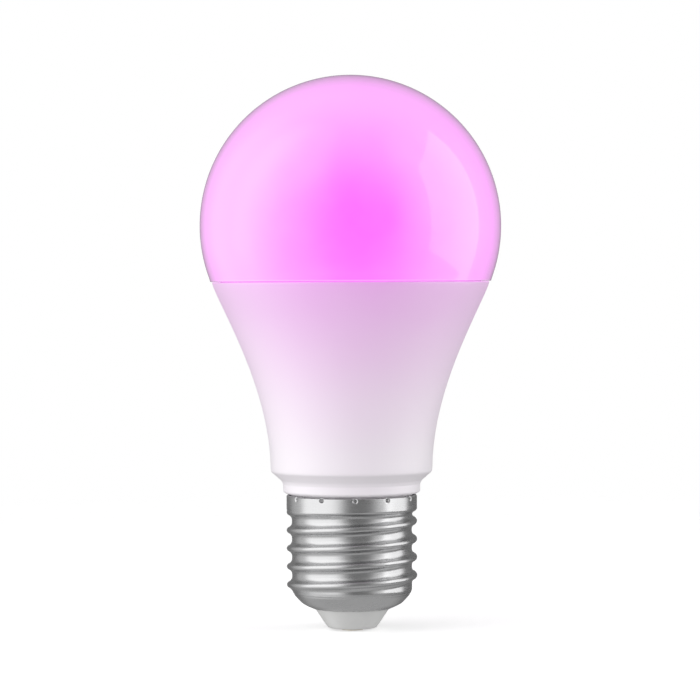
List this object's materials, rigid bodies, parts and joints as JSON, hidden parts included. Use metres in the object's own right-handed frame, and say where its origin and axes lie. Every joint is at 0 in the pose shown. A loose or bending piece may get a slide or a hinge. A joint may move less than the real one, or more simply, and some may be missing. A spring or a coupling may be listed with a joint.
{
  "type": "smart light bulb",
  "caption": "Colour-changing smart light bulb: opal dome on a tapered white housing, with an Edison screw cap, a light board, a mains driver and a radio board inside.",
  "frame": {"origin": "centre of the centre contact's flat face, on the bulb's axis; the lowest point of the bulb", "axes": "+Z along the bulb's axis, from the cap to the top of the dome; -Y is the side with the two capacitors, +Y the side with the radio board"},
  "size_m": [0.0602, 0.0602, 0.1109],
  "materials": {
    "opal_diffuser": "satin opal, lit magenta from inside",
    "white_plastic": "satin white",
    "nickel_shell": "satin nickel plate",
    "grey_insulator": "satin light grey",
    "brass_contact": "tinned brass",
    "silicone": "cured translucent white",
    "aluminium": "drawn, satin",
    "thermal_pad": "matt grey",
    "white_board": "white solder mask on aluminium",
    "phosphor": "yellow phosphor gel in a white frame",
    "clear_led": "clear gel in a white frame",
    "steel": "zinc plated",
    "green_board": "green solder mask on glass fibre",
    "blue_board": "blue solder mask on glass fibre",
    "black_sleeve": "thin black sleeve",
    "ferrite": "matt sintered",
    "winding_tape": "yellow polyester tape",
    "copper": "enamelled copper wire",
    "black_epoxy": "moulded epoxy",
    "resistor_body": "green-grey cement coat",
    "film_body": "ochre dipped epoxy",
    "varistor_body": "blue dipped epoxy",
    "gold_pin": "gold flash",
    "ceramic_part": "fired ceramic",
    "red_lead": "silicone insulated lead",
    "black_lead": "silicone insulated lead"
  },
  "bodies": {
    "root": {"base_insulator": "grey_insulator", "board_screw_1": "steel", "board_screw_2": "steel", "bridge_rectifier": "black_epoxy", "bulk_capacitor": "black_sleeve", "centre_contact": "brass_contact", "colour_chip": "black_epoxy", "colour_led_1": "clear_led", "colour_led_2": "clear_led", "colour_led_3": "clear_led", "colour_led_4": "clear_led", "diffuser": "opal_diffuser", "driver_board": "green_board", "driver_chip": "black_epoxy", "driver_sleeve": "black_sleeve", "film_capacitor": "film_body", "filter_choke": "copper", "fuse_resistor": "resistor_body", "header_block": "black_epoxy", "header_pin_1": "gold_pin", "header_pin_2": "gold_pin", "header_pin_3": "gold_pin", "header_pin_4": "gold_pin", "heat_sink_cup": "aluminium", "housing": "white_plastic", "led_board": "white_board", "live_lead": "red_lead", "neutral_lead": "black_lead", "output_capacitor": "black_sleeve", "radio_antenna": "ceramic_part", "radio_board": "blue_board", "radio_shield": "steel", "screw_shell": "nickel_shell", "sealant_bead": "silicone", "thermal_pad": "thermal_pad", "transformer_core": "ferrite", "transformer_winding": "winding_tape", "varistor": "varistor_body", "white_led_01": "phosphor", "white_led_02": "phosphor", "white_led_03": "phosphor", "white_led_04": "phosphor", "white_led_05": "phosphor", "white_led_06": "phosphor", "white_led_07": "phosphor", "white_led_08": "phosphor", "white_led_09": "phosphor", "white_led_10": "phosphor", "white_led_11": "phosphor", "white_led_12": "phosphor"}
  },
  "joints": []
}
